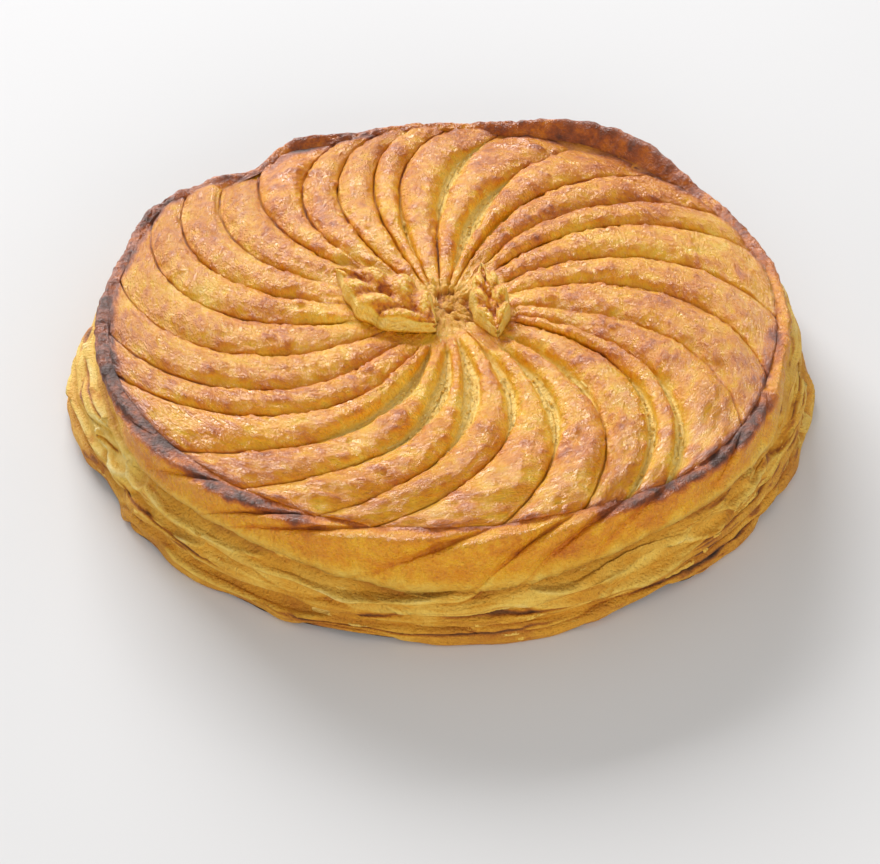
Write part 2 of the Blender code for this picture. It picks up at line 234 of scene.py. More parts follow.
def leaf_back(column, radius):
    """Height across a leaf, 0 in its cuts and 1 on its crest."""
    before = np.floor(column).astype(int) % CUT_COUNT
    after = (before + 1) % CUT_COUNT
    share = column - np.floor(column)
    table = np.array(CUTS, dtype=float)
    leaf_width = np.radians(away(table[after, 0], table[before, 0])) * np.maximum(radius, LEAF_START[0])
    left = gape(before, radius) / leaf_width
    right = gape(after, radius) / leaf_width
    inner = np.clip((share - left) / (1.0 - left - right), 0.0, 1.0)
    return 1.0 - np.abs(2.0 * inner - 1.0) ** LEAF_ROUND


def crowd(column):
    """Moves evenly spaced columns towards the cuts, where the relief is steep."""
    share = column - np.floor(column)
    return column - COLUMN_CROWD * np.sin(2.0 * math.pi * share) / (2.0 * math.pi)


# ---- the lid ----------------------------------------------------------------------------------
def dome_height(x, y, rim):
    """The lid without its cuts."""
    radius = np.hypot(x, y)
    crown = DOME_RISE * (1.0 - np.clip(radius / rim, 0.0, 1.0) ** DOME_POWER)
    return crease_height(x, y) + crown - HOLLOW_DEPTH * np.exp(-(radius / HOLLOW_RADIUS) ** 2)


def seat_share(x, y):
    """1 under the pastry leaves and 0 clear of them."""
    share = np.zeros_like(x)
    for (middle_x, middle_y), length, width, _thickness, bearing in LEAVES.values():
        turn = math.radians(bearing)
        along = (x - middle_x) * math.cos(turn) + (y - middle_y) * math.sin(turn)
        across = -(x - middle_x) * math.sin(turn) + (y - middle_y) * math.cos(turn)
        reach = np.hypot(along / (0.5 * length), across / (0.5 * width))
        share = np.maximum(share, 1.0 - ramp(reach, SEAT_REACH, SEAT_REACH + SEAT_EDGE))
    return share


def lid_surface(column, path):
    """The lid, from its middle (path 0) to the crease (path 1)."""
    rim = crease_radius(column_bearing(column, RIM_RADIUS))
    radius = rim * path
    x, y = polar(radius, column_bearing(column, radius))
    grown = ramp(radius, *LEAF_START) * (1.0 - LEAF_LOSS * ramp(radius, rim - LEAF_END, rim))
    relief = LEAF_RISE * grown * (leaf_back(column, radius) - LEAF_BODY)
    return x, y, dome_height(x, y, rim) + relief * (1.0 - seat_share(x, y))


# ---- the lip and the wall ---------------------------------------------------------------------
def edge_of_lip(bearing):
    """Radius and height of the lip's lower edge."""
    crease_x, crease_y = polar(crease_radius(bearing), bearing)
    left = 1.0 - lip_hang(bearing)
    radius = np.maximum(mix(base_radius(bearing), rim_radius(bearing), left ** 2), rim_radius(bearing))
    return radius, crease_height(crease_x, crease_y) * left


def outer_bearing(column, path):
    """The bearing of a column beyond the crease: it keeps turning down to the lip's edge."""
    at_crease = column_bearing(column, RIM_RADIUS)
    length = LIP_WIDTH + lip_hang(at_crease) * RIM_HEIGHT
    beyond = length * np.clip(path - 1.0, 0.0, 1.0)
    return column_bearing(column, RIM_RADIUS + beyond) - LIP_SLANT * beyond


def lip_surface(column, path):
    """The lip, from the crease (path 1) over its back to its lower edge (path 2)."""
    bearing = outer_bearing(column, path)
    reach = np.clip(path - 1.0, 0.0, 1.0)
    crease = crease_radius(bearing)
    edge_radius, edge_height = edge_of_lip(bearing)
    height = crease_height(*polar(crease, bearing))
    crest = hump(reach - CREST_PLACE, 1.0 - CREST_PLACE)
    back = (LIP_CREST + swells(UPTURNS, bearing)) * crest ** CREST_ROUND
    leaves = LIP_LEAF_RISE * (leaf_back(column, RIM_RADIUS) - LEAF_BODY) * crest
    leaves = leaves * lip_hang(bearing) / (LIP_HANG + SIDE_HANG)
    outwards, downwards = LIP_TURN
    radius = mix(crease, edge_radius, np.sin(0.5 * math.pi * reach) ** outwards) + leaves
    x, y = polar(radius, bearing)
    return x, y, mix(height, edge_height, reach ** downwards) + back + leaves


def flakes(bearing, fall):
    """In and out of the wall: puffed sheets between two wandering gaps, and the foot's inset."""
    wander = sum(size * np.sin(np.radians(count * bearing + phase)) for count, phase, size in GAP_WAVES)
    gaps = 0.0
    for (place, width), drift in zip((UPPER_GAP, LOWER_GAP), GAP_DRIFT):
        gaps = gaps + np.exp(-((fall - place - drift * wander) / width) ** 2)
    bulge = SHEET_BULGE * hump(fall - SHEET_BELLY, SHEET_BELLY)
    return bulge - GAP_DEPTH * gaps - FOOT_INSET[1] * ramp(fall, FOOT_INSET[0], 1.0)


def wall_surface(column, path):
    """The flaky wall, from under the lip's edge (path 2) to the ground (path 3)."""
    bearing = outer_bearing(column, path)
    fall = np.clip(path - 2.0, 0.0, 1.0)
    top_radius, top_height = edge_of_lip(bearing)
    straight = mix(top_radius - TUCK, base_radius(bearing), ramp(fall, 0.0, FOOT_REACHED))
    x, y = polar(straight + flakes(bearing, fall), bearing)
    return x, y, mix(top_height, 0.0, fall)


def crust_surface(column, path):
    """Points of the crust for arrays of columns and paths, in the pie's frame."""
    lid, lip, wall = (np.stack(shape(column, path), axis=-1)
                      for shape in (lid_surface, lip_surface, wall_surface))
    points = np.where((path <= 1.0)[:, None], lid, np.where((path <= 2.0)[:, None], lip, wall))
    return points + (*SWIRL_MIDDLE, 0.0)



# ---- randomness -------------------------------------------------------------------------------
def hashed(cell, seed):
    """A random number from 0 to 1 for each cell of a grid."""
    mixed = cell[..., 0] * 374761393 + cell[..., 1] * 668265263 + cell[..., 2] * 960182627
    mixed = (mixed + seed * 2246822519) & 0xFFFFFFFF
    mixed = ((mixed ^ (mixed >> 13)) * 1274126177) & 0xFFFFFFFF
    return ((mixed ^ (mixed >> 16)) & 0xFFFFFF) / float(0x1000000)


def noise(points, seed=0):
    """Smooth random relief, about -1 to 1, with features one unit across."""
    cell = np.floor(points).astype(np.int64)
    local = points - cell
    fade = local ** 3 * (local * (local * 6.0 - 15.0) + 10.0)
    total = 0.0
    for corner in itertools.product((0, 1), repeat=3):
        corner = np.array(corner)
        slopes = np.stack([hashed(cell + corner, seed + axis) for axis in range(3)], axis=-1)
        weight = np.prod(np.where(corner == 1, fade, 1.0 - fade), axis=-1)
        total = total + weight * np.sum((2.0 * slopes - 1.0) * (local - corner), axis=-1)
    return 1.6 * total


def layered(points, seed=0, octaves=3):
    """Noise with finer noise on it."""
    return sum(noise(points * 2.0 ** step, seed + 7 * step) / 2.0 ** step for step in range(octaves))


def creases(points, seed=0):
    """1 along thin random lines, falling to 0 between them."""
    return np.clip(1.0 - 2.2 * np.abs(noise(points, seed)), 0.0, 1.0)


def pebbles(points, seed=0):
    """Rounded bumps packed side by side: 1 on their tops and 0 between them."""
    cell = np.floor(points).astype(np.int64)
    nearest = np.full(points.shape[:-1], 9.0)
    for corner in itertools.product((-1, 0, 1), repeat=3):
        neighbour = cell + np.array(corner)
        place = np.stack([hashed(neighbour, seed + axis) for axis in range(3)], axis=-1)
        nearest = np.minimum(nearest, np.sum((neighbour + place - points) ** 2, axis=-1))
    return np.clip(1.0 - 1.4 * nearest, 0.0, 1.0)


def plane(first, second, offset=0.0):
    """Points for the functions above from two coordinates."""
    first, second = np.broadcast_arrays(first, second)
    return np.stack([first, second, np.full(first.shape, offset)], axis=-1)


def around(bearing, size, other):
    """Points for the functions above on the rim: features of a size in mm, and another coordinate."""
    x, y = polar(MEAN_RADIUS / MM / size, bearing)
    return np.stack(np.broadcast_arrays(x, y, other), axis=-1)


def band(value, low, high, soft):
    """1 from low to high, and smoothly 0 outside."""
    return ramp(value, low - soft, low + soft) * (1.0 - ramp(value, high - soft, high + soft))


def arc(bearing, low, high, soft):
    """1 between two bearings, taken anticlockwise, and smoothly 0 outside."""
    half = 0.5 * ((high - low) % 360.0)
    return 1.0 - ramp(np.abs(away(bearing, low + half)), half - soft, half + soft)


# ---- grids of points on the crust -------------------------------------------------------------
def grid(paths, columns_per_leaf):
    """Rings of points on the plain crust, with their places."""
    count = CUT_COUNT * columns_per_leaf
    column = crowd(np.arange(count) / columns_per_leaf)
    column, path = np.meshgrid(column, np.array(paths), indexing="xy")
    points = crust_surface(column.ravel(), path.ravel()).reshape(*column.shape, 3)
    return {"column": column, "path": path, "points": points}


def normals(points):
    """Outward normals of rings of points that run from the middle of the lid to the ground."""
    down = np.gradient(points, axis=0)
    around = 0.5 * (np.roll(points, -1, axis=1) - np.roll(points, 1, axis=1))
    normal = np.cross(down, around)
    return normal / np.maximum(np.linalg.norm(normal, axis=-1, keepdims=True), 1e-12)


def places(points):
    """Radius and bearing round the middle of the swirl."""
    x = points[..., 0] - SWIRL_MIDDLE[0]
    y = points[..., 1] - SWIRL_MIDDLE[1]
    return np.hypot(x, y), np.degrees(np.arctan2(y, x)) % 360.0


def ring_object(name, points, layers, skin_places, ends):
    """A closed mesh of rings of points; `ends` are the points that close its first and last ring."""
    rings, count = points.shape[:2]
    vertices = np.concatenate([points.reshape(-1, 3), np.array(ends)])
    index = np.arange(rings * count).reshape(rings, count)
    after = np.roll(index, -1, axis=1)
    quads = np.stack([index[:-1], index[1:], after[1:], after[:-1]], axis=-1).reshape(-1, 4)
    first = np.stack([np.full(count, rings * count), index[0], after[0]], axis=-1)
    last = np.stack([np.full(count, rings * count + 1), after[-1], index[-1]], axis=-1)
    mesh = bpy.data.meshes.new(name)
    mesh.from_pydata(vertices.tolist(), [], quads.tolist() + first.tolist() + last.tolist())
    for layer, values in layers.items():
        attribute = mesh.attributes.new(layer, "FLOAT", "POINT")
        values = np.concatenate([np.ravel(values), [values[0].mean(), values[-1].mean()]])
        attribute.data.foreach_set("value", values.astype(np.float32))
    attribute = mesh.attributes.new("skin", "FLOAT_VECTOR", "POINT")
    skin_places = np.concatenate([skin_places.reshape(-1, 3), np.zeros((2, 3))])
    attribute.data.foreach_set("vector", skin_places.astype(np.float32).ravel())
    mesh.shade_smooth()
    piece = bpy.data.objects.new(name, mesh)
    bpy.context.scene.collection.objects.link(piece)
    return piece


# ---- the lid ----------------------------------------------------------------------------------
def cut_places(column, radius):
    """For points of the lid: the nearest cut, the distance from it and half its width, in metres."""
    table = np.array(CUTS, dtype=float)
    number = np.round(column).astype(int) % CUT_COUNT
    before = np.floor(column).astype(int) % CUT_COUNT
    after = (before + 1) % CUT_COUNT
    share = np.abs(column - np.round(column))
    width = np.radians(away(table[after, 0], table[before, 0])) * radius
    start = (CUT_RADIUS / SWING_RADIUS) ** SWING_POWER
    turning = np.radians(table[number, 1]) * SWING_POWER / (1.0 - start)
    slant = turning * (radius / SWING_RADIUS) ** SWING_POWER
    return number, share * width / np.sqrt(1.0 + slant ** 2), gape(number, radius)


def leaf_places(column, radius):
    """For points of the lid: the way along their leaf and across it from its middle, in mm."""
    table = np.array(CUTS, dtype=float)
    before = np.floor(column).astype(int) % CUT_COUNT
    after = (before + 1) % CUT_COUNT
    share = column - np.floor(column)
    width = np.radians(away(table[after, 0], table[before, 0])) * np.maximum(radius, 0.004)
    start = (CUT_RADIUS / SWING_RADIUS) ** SWING_POWER
    turning = np.radians(mix(table[before, 1], table[after, 1], share)) * SWING_POWER / (1.0 - start)
    slant = turning * (radius / SWING_RADIUS) ** SWING_POWER
    along = radius * (1.0 + 0.16 * (radius / SWING_RADIUS) ** 3)
    return along / MM, (share - 0.5) * width / np.sqrt(1.0 + slant ** 2) / MM


def crumple(points, seed):
    """Rounded puffs with sharp valleys between them, 0 to 1."""
    return np.clip(1.7 * np.abs(noise(points, seed)), 0.0, 1.0)


def lid_detail(cells):
    """Relief of the lid in metres, and how baked and how raw each point is; the baking share also carries painted
    shade in the cut lines, the pits and the hollow in the middle.
    """
    points, column = cells["points"], cells["column"]
    radius, bearing = places(points)
    mm = points / MM
    number, distance, half = cut_places(column, radius)
    leaf = np.floor(column)
    along, across = leaf_places(column, radius)
    warp = noise(mm / 6.0, 2)
    share = column - leaf
    wander = (0.35 * noise(mm / 7.0, 51) + 0.15 * noise(mm / 1.8, 53)) * MM
    seam = np.abs(np.where(share > 0.5, -distance, distance) - wander)
    flank = (distance - half) / MM
    open_cut = ramp(half / MM, 0.15, 0.8)
    grown = ramp(radius, 0.010, 0.026)
    skin = ramp(flank, -0.2, 1.2)
    inside = 1.0 - ramp(flank, -0.5, 0.35)
    seat = seat_share(points[..., 0] - SWIRL_MIDDLE[0], points[..., 1] - SWIRL_MIDDLE[1])

    puffs = 0.80 * noise(plane(along / 16.0, across / 13.0, leaf * 3.7), 3) + 0.50 * noise(mm / 7.0, 5)
    coarse = crumple(plane((along + warp) / 3.6, (across + warp) / 4.1, leaf * 7.3), 11)
    finer = crumple(plane((along + warp) / 1.9, across / 2.2, leaf * 5.1), 17)
    rough = 0.55 + 0.45 * ramp(noise(mm / 13.0, 25), -0.4, 0.4)
    relief = puffs * skin + skin * rough * (0.82 * coarse + 0.52 * finer - 0.55)
    relief = relief * (0.35 + 0.65 * grown) + 0.6 * (0.6 - (2.0 * share - 1.0) ** 2) * grown * (1.0 - seat)
    shut = (1.0 - open_cut) * grown * (1.0 - seat)
    relief = relief + shut * (0.45 * np.exp(-(distance / (1.7 * MM)) ** 2) - 0.60 * np.exp(-(seam / (0.30 * MM)) ** 2))
    porous = 0.45 * noise(plane(along / 4.5, across / 1.1, leaf), 31) + 0.40 * noise(mm / 1.5, 35)
    relief = relief + (porous - 0.5) * inside * open_cut
    pits = ramp(noise(mm / 3.2, 37), 0.0, 0.5) * (1.0 - ramp(radius, 0.009, 0.017))
    relief = relief - 1.5 * pits + 1.3 * (1.0 - ramp(radius, 0.011, 0.019)) * (pebbles(mm / 1.7, 39) - 0.5)

    middle = 1.0 - ramp(along, 9.0, 17.0)
    raw = np.clip(np.maximum(inside * open_cut, middle), 0.0, 1.0)
    crest = ramp(leaf_back(column.ravel(), radius.ravel()).reshape(column.shape), 0.2, 1.0)
    bake_and_painted_light = 0.46 + 0.12 * noise(mm / 21.0, 41) + 0.11 * noise(mm / 6.0, 43) + 0.05 * crest * grown
    bake_and_painted_light = bake_and_painted_light + 0.14 * (coarse - 0.4) * skin + 0.09 * (finer - 0.4) * skin
    thin = np.exp(-np.maximum(flank, 0.0) / 1.1)
    bake_and_painted_light = bake_and_painted_light - 0.16 * thin * open_cut
    # a dark line along each shut cut: partly a browned cut edge, partly painted shade in the slit
    cut_line_browning_and_shade = np.exp(-(seam / (0.33 * MM)) ** 2) * (1.0 - open_cut) * grown
    bake_and_painted_light = bake_and_painted_light + 0.24 * cut_line_browning_and_shade * ramp(noise(mm / 7.0, 47), -0.55, 0.35) * cut_darkness(bearing)
    # bare pastry in the gaping cuts and the middle; the hollow in the middle and its pits are darkened with painted
    # shade
    bake_and_painted_light = mix(bake_and_painted_light, 0.17 + 0.16 * porous + 0.19 * middle * (1.0 - open_cut) + 0.16 * pits, raw)
    bake_and_painted_light = bake_and_painted_light + 0.07 * ramp(mm[..., 1], 40.0, 95.0) * (1.0 - raw)
    bake_and_painted_light = bake_and_painted_light + burns(LID_BURNS, bearing, cells["beyond"] / MM, mm)
    return relief * MM, {"bake_and_painted_light": bake_and_painted_light, "raw": raw}, np.stack([along, across, leaf * 9.0], axis=-1)


def cut_darkness(bearing):
    """The dark cut lines, partly browning and partly painted shade, are weakest on the high side."""
    return 1.0 - 0.75 * arc(bearing, 250, 325, 12.0)


def burns(table, bearing, beyond, mm):
    """Darkening from a table of zones: two bearings, two distances from the crease in mm, amount."""
    wobble_bearing = bearing + 3.0 * noise(mm / 9.0, 61)
    wobble_beyond = beyond + 1.1 * noise(mm / 4.0, 63)
    total = 0.0
    for low, high, near, far, soft, amount in table:
        zone = arc(wobble_bearing, low, high, 5.0) * band(wobble_beyond, near, far, soft)
        total = np.maximum(total, amount * zone)
    return total * np.clip(0.85 + 0.45 * noise(mm / 9.0, 65) + 0.25 * noise(mm / 2.2, 67), 0.2, 1.15)


# two bearings, two distances beyond the crease in mm, softness in mm, amount
LID_BURNS = (
    (222, 300, -1.3, 0.6, 0.6, 0.15),
    (140, 226, -1.4, 4.0, 1.1, 0.32),
    (292, 336, -1.5, 4.0, 1.1, 0.32),
    (336, 360, -1.0, 4.0, 0.8, 0.26),
    (344, 353, -3.0, 4.0, 1.0, 0.38),
    (8, 36, -1.5, 5.0, 0.8, 0.20),
    (33, 84, -2.0, 9.0, 1.6, 0.22),
    (102, 122, -3.0, 9.0, 1.4, 0.34),
)
LIP_BURNS = (
    (222, 300, -1.0, 1.3, 0.7, 0.20),
    (122, 162, -1.0, 9.0, 0.8, 0.30),
    (84, 102, -1.0, 9.0, 0.8, 0.18),
    (212, 250, 0.4, 5.4, 1.4, 0.43),
    (190, 226, -1.0, 5.8, 1.6, 0.46),
    (140, 192, -1.0, 6.5, 1.6, 0.40),
    (294, 336, -1.0, 5.6, 1.8, 0.42),
    (336, 360, -1.0, 0.8, 0.5, 0.20),
    (344, 353, -1.0, 1.4, 0.9, 0.36),
    (8, 36, -1.0, 5.0, 0.8, 0.22),
    (33, 84, -2.0, 9.0, 1.6, 0.30),
    (102, 122, -2.0, 9.0, 1.4, 0.34),
)


# ---- the lip and the wall ---------------------------------------------------------------------
# pockets between the sheets: bearing, half width in degrees, height as a share of the wall's, its
# rise over the half width, half the opening as the same share, and depth in mm
POCKETS = (
    (256, 16, 0.53, 0.02, 0.130, 2.6),
    (260, 5, 0.35, 0.01, 0.050, 1.2),
    (238, 15, 0.19, 0.0, 0.090, 1.8),
    (229, 14, 0.62, 0.0, 0.120, 1.0),
    (296, 14, 0.54, 0.02, 0.150, 2.4),
    (302, 10, 0.35, 0.05, 0.085, 1.6),
    (313, 5, 0.46, -0.02, 0.100, 1.3),
    (320, 4.5, 0.53, 0.0, 0.080, 1.8),
    (331, 9, 0.50, -0.04, 0.065, 2.2),
    (222, 9, 0.385, 0.02, 0.055, 1.3),
    (213, 3.5, 0.58, 0.0, 0.130, 1.2),
    (205, 6, 0.52, -0.05, 0.120, 1.4),
)
RANDOM_POCKETS = 26       # on the stretch that the pockets above leave
FREE_STRETCH = (343, 557)
# where the bottom sheet is lifted: bearing, half width in degrees, height in mm
LIFTS = ((256, 11, 2.6), (202, 8, 2.4), (303, 8, 1.6), (329, 6, 1.8), (60, 10, 1.5), (120, 9, 1.8))


# cracks: bearing, half width in degrees, height share, rise over the half width, how far the ends
# are above the middle, and half the width in mm
CRACKS = (
    (277, 12, 0.275, -0.010, 0.0, 0.45),
    (248, 19, 0.240, 0.0, 0.050, 0.35),
    (222, 14, 0.330, -0.02, 0.0, 0.35),
    (206, 10, 0.240, 0.0, 0.03, 0.35),
    (300, 14, 0.200, 0.02, 0.03, 0.35),
    (318, 12, 0.330, 0.03, 0.0, 0.35),
    (338, 12, 0.420, -0.04, 0.0, 0.35),
    (262, 26, 0.115, 0.01, 0.0, 0.30),
    (312, 18, 0.130, -0.01, 0.0, 0.30),
)
RANDOM_CRACKS = 30


def all_cracks():
    random = np.random.default_rng(6)
    extra = []
    for step in range(RANDOM_CRACKS):
        share = (step + 0.5 + random.uniform(-0.5, 0.5)) / RANDOM_CRACKS
        extra.append((mix(*FREE_STRETCH, share) % 360.0, random.uniform(7.0, 20.0), random.uniform(0.10, 0.62),
                      random.uniform(-0.04, 0.04), random.uniform(-0.03, 0.05), random.uniform(0.28, 0.45)))
    return CRACKS + tuple(extra)


def all_pockets():
    random = np.random.default_rng(4)
    extra = []
    for step in range(RANDOM_POCKETS):
        share = (step + 0.5 + random.uniform(-0.5, 0.5)) / RANDOM_POCKETS
        bearing = mix(*FREE_STRETCH, share) % 360.0
        half = random.uniform(5.0, 15.0)
        opening = random.uniform(0.025, 0.11)
        extra.append((bearing, half, random.uniform(0.14, 0.78), random.uniform(-0.05, 0.05), opening,
                      random.uniform(1.0, 2.4)))
    return POCKETS + tuple(extra)


def pocket_relief(bearing, height, mm):
    """Depth of the pockets in mm, how far each point is inside one, and their lower ledges."""
    depth, inside, ledge = np.zeros_like(bearing), np.zeros_like(bearing), np.zeros_like(bearing)
    height = height + 0.010 * noise(mm / 6.0, 71)
    for middle, half, level, rise, opening, most in all_pockets():
        across = away(bearing, middle) / half
        length = np.sqrt(np.clip(1.0 - across ** 2, 0.0, 1.0))
        place = (height - level - rise * across) / np.maximum(opening * length, 0.001)
        within = (np.abs(across) < 1.0) * (1.0 - ramp(place, 0.90, 1.04)) * ramp(place, -1.0, -0.55)
        depth = np.maximum(depth, most * length * within ** 0.8)
        inside = np.maximum(inside, within * length)
        below = (height - level - rise * across + opening * length) / 0.018
        ledge = np.maximum(ledge, length ** 0.5 * np.exp(-below ** 2))
    return depth, inside, ledge


def crack_lines(bearing, height, wall, mm):
    """1 along the cracks between the sheets, falling to 0 half a millimetre above and below them."""
    height = height + 0.012 * noise(mm / 7.0, 73) + 0.004 * noise(mm / 2.0, 75)
    total = np.zeros_like(bearing)
    for middle, half, level, rise, bow, width in all_cracks():
        across = away(bearing, middle) / half
        ends = np.clip(1.0 - across ** 4, 0.0, 1.0) * (np.abs(across) < 1.0)
        off = (height - level - rise * across - bow * across ** 2) * wall / MM
        total = np.maximum(total, ends * np.exp(-(off / np.maximum(width * ends, 0.05)) ** 2))
    return total


def lip_detail(cells):
    """Relief of the lip in metres, and how baked and how raw each point is; the baking share also carries painted
    shade in the slits and a partly painted highlight on the hem's bead.
    """
    points = cells["points"]
    _radius, bearing = places(points)
    mm = points / MM
    beyond = cells["beyond"] / MM
    crease_x, crease_y = polar(crease_radius(bearing), bearing)
    height = points[..., 2] / crease_height(crease_x, crease_y)

    _number, distance, _half = cut_places(cells["column"], RIM_RADIUS + cells["beyond"])
    slit = np.exp(-(distance / (0.60 * MM)) ** 2) * lip_cuts(bearing) * ramp(beyond, 0.0, 2.0)
    coarse = crumple(around(bearing, 5.0, beyond / 4.0), 83)
    finer = crumple(around(bearing, 2.2, beyond / 2.0), 85)
    folded = ramp(lip_hang(bearing), 0.10, 0.28)
    rough = 1.0 - 0.65 * folded
    relief = rough * (0.50 * coarse + 0.30 * finer - 0.35) + 0.60 * noise(mm / 8.0, 84) - 0.36 * slit

    bead = folded * np.exp(-((cells["path"] - 1.92) / 0.06) ** 2)
    relief = relief + 0.9 * bead

    skin_limit = 1.0 - lip_hang(bearing)
    pale = lip_hang(bearing) * (0.50 + 0.30 * noise(mm / 6.0, 95))
    fade = ramp(height, skin_limit - 0.02, skin_limit + pale)
    raw = np.clip(0.75 * (1.0 - fade), 0.0, 1.0)
    bake_and_painted_light = 0.50 + 0.08 * noise(mm / 12.0, 96) + 0.05 * noise(mm / 4.0, 97) + 0.10 * (coarse - 0.4) * rough
    # the slits are darkened, partly browning and partly painted shade; the hem's bead is lighter, partly paler thin
    # pastry and partly a painted highlight
    bake_and_painted_light = bake_and_painted_light + 0.09 * slit + burns(LIP_BURNS, bearing, beyond, mm) - 0.20 * (1.0 - fade) - 0.05 * bead
    return relief * MM, {"bake_and_painted_light": bake_and_painted_light, "raw": raw}


def wall_detail(cells):
    """Relief of the wall in metres, and how baked and how raw each point is; the baking share also carries painted
    shade in the gaps, cracks and pockets, under the lip's hem and at the foot, and painted highlights on sheet edges
    and ledges.
    """
    points, path = cells["points"], cells["path"]
    _radius, bearing = places(points)
    mm = points / MM
    level = mm[..., 2]
    crease_x, crease_y = polar(crease_radius(bearing), bearing)
    wall = crease_height(crease_x, crease_y)
    height = points[..., 2] / wall

    depth, inside, ledge = pocket_relief(bearing, height, mm)
    crack = crack_lines(bearing, height, wall, mm)
    folds = 0.50 * noise(around(bearing, 2.6, level / 18.0), 87)
    folds = folds + 0.20 * noise(around(bearing, 1.2, level / 9.0), 88)
    broad, broad_edge_highlight, broad_gap_shade = sheets(bearing, level, 6.5, 90)
    thin, thin_edge_highlight, thin_gap_shade = sheets(bearing, level, 2.1, 110)
    calm = 1.0 - 0.85 * inside
    relief = (1.9 * broad + 0.30 * thin) * calm - 1.4 + 0.65 * noise(mm / 11.0, 92)
    relief = relief + folds * (0.10 + 0.55 * inside) + 0.05 * noise(mm / 1.2, 93)
    relief = relief - depth + 0.55 * ledge * (1.0 - inside) - 1.1 * crack
    tucked = np.exp(-(np.maximum(path - 2.0, 0.0) / 0.16) ** 2)
    relief = relief - 1.8 * tucked + 0.9 * ramp(path, 2.55, 2.85)

    bake_and_painted_light = 0.32 + 0.08 * noise(mm / 10.0, 98) + 0.08 * noise(mm / 24.0, 94) + 0.04 * folds * inside
    torn = arc(bearing, 198, 212, 4.0) * band(height, 0.36, 0.64, 0.06)
    relief = relief + torn * (1.1 * pebbles(mm / 2.4, 101) - 0.9)
    bake_and_painted_light = bake_and_painted_light - 0.16 * torn
    bake_and_painted_light = bake_and_painted_light + 0.11 * (1.0 - ramp(height, 0.12, 0.50)) - 0.04
    # painted shade in the gaps under the sheets, and painted highlights along the sheets' edges
    bake_and_painted_light = bake_and_painted_light + calm * (0.18 * broad_gap_shade + 0.07 * thin_gap_shade - 0.10 * broad_edge_highlight - 0.06 * thin_edge_highlight)
    # painted shade inside the pockets, along the cracks and under the lip's hem, and a painted highlight on the
    # pockets' lower ledges
    bake_and_painted_light = bake_and_painted_light + 0.02 * inside - 0.14 * ledge + 0.42 * crack + 0.26 * tucked
    # darker along the foot: partly a browned bottom edge, partly a painted contact shadow
    bake_and_painted_light = bake_and_painted_light + 0.45 * (1.0 - ramp(level, 0.2, 1.3))
    flecks = ramp(noise(around(bearing, 8.0, level / 1.1), 99), 0.28, 0.6)
    bake_and_painted_light = bake_and_painted_light + 0.20 * flecks * side_browning(bearing) * calm
    bake_and_painted_light = bake_and_painted_light + 0.42 * arc(bearing, 192, 213, 4.0) * ramp(height, 0.82, 0.90)
    return relief * MM, {"bake_and_painted_light": bake_and_painted_light, "raw": np.ones_like(bake_and_painted_light)}


def lip_cuts(bearing):
    """The cuts run on over the lip where it is folded down."""
    return arc(bearing, 228, 300, 16.0)


def sheets(bearing, level, spacing, seed):
    """Edges of stacked sheets: how far they stand out (1 at an edge, 0 under the next one), and masks for a painted
    highlight along each edge and painted shade in the gap under it.
    """
    bend = noise(around(bearing, 34.0, level / 14.0), seed)
    bend = bend + 0.30 * noise(around(bearing, 12.0, level / 20.0), seed + 3)
    stacked = level / spacing + bend
    stacked = stacked + 0.3 * noise(around(bearing, 60.0, stacked * 0.9), seed + 6)
    number = np.floor(stacked)
    share = stacked - number
    strength = ramp(noise(around(bearing, 24.0, number * 3.1), seed + 9), -0.45, 0.35)
    profile = 1.95 * share ** 0.35 * (1.0 - share) ** 0.7
    # edge: a mask for a painted highlight along each sheet's edge; gap: a mask for painted shade in the gap under it
    edge = np.exp(-((share - 0.13) / 0.08) ** 2)
    gap = np.exp(-share / 0.05) + np.exp(-(1.0 - share) / 0.06)
    return profile * strength, edge * strength, gap * strength


def side_browning(bearing):
    """The wall is browner away from the high side's middle."""
    return 0.35 + 0.65 * (1.0 - arc(bearing, 235, 305, 15.0))


# ---- pieces of the crust ----------------------------------------------------------------------
LID_RINGS = 100
MEAN_RADIUS = 0.115       # between the base and the rim
LIP_RINGS = 34
WALL_RINGS = 100
COLUMNS = 32              # for each leaf of the lid
LID_THICKNESS = 0.004
HEM_THICKNESS = 0.0010    # the lip's lower edge, which stands clear of the wall


def beyond_crease(points, path):
    """Distance outwards from the crease along the crust, in metres."""
    radius, bearing = places(points)
    lip = np.clip(path - 1.0, 0.0, 1.0) * (LIP_WIDTH + lip_hang(bearing) * RIM_HEIGHT)
    return np.where(path <= 1.0, radius - crease_radius(bearing), lip)


def make_lid():
    cells = grid(np.linspace(0.004, 1.0, LID_RINGS), COLUMNS)
    cells["beyond"] = beyond_crease(cells["points"], cells["path"])
    relief, layers, skin = lid_detail(cells)
    top = cells["points"] + normals(cells["points"]) * relief[..., None]
    middle = np.array([*SWIRL_MIDDLE, 0.0])
    under = [middle + (top[-1] - middle) * (share, share, 1.0) - (0.0, 0.0, drop)
             for share, drop in ((0.998, 0.4 * LID_THICKNESS), (0.985, LID_THICKNESS), (0.5, LID_THICKNESS))]
    layers = {name: np.concatenate([values, values[-1:], values[-1:], values[-1:]])
              for name, values in layers.items()}
    skin = np.concatenate([skin, skin[-1:], skin[-1:], skin[-1:]])
    ends = (top[0].mean(axis=0), middle + (0.0, 0.0, RIM_HEIGHT - LID_THICKNESS))
    lid = ring_object("crust_lid", np.concatenate([top, np.array(under)]), layers, skin, ends)
    return lid, top, crumb_weight(cells)


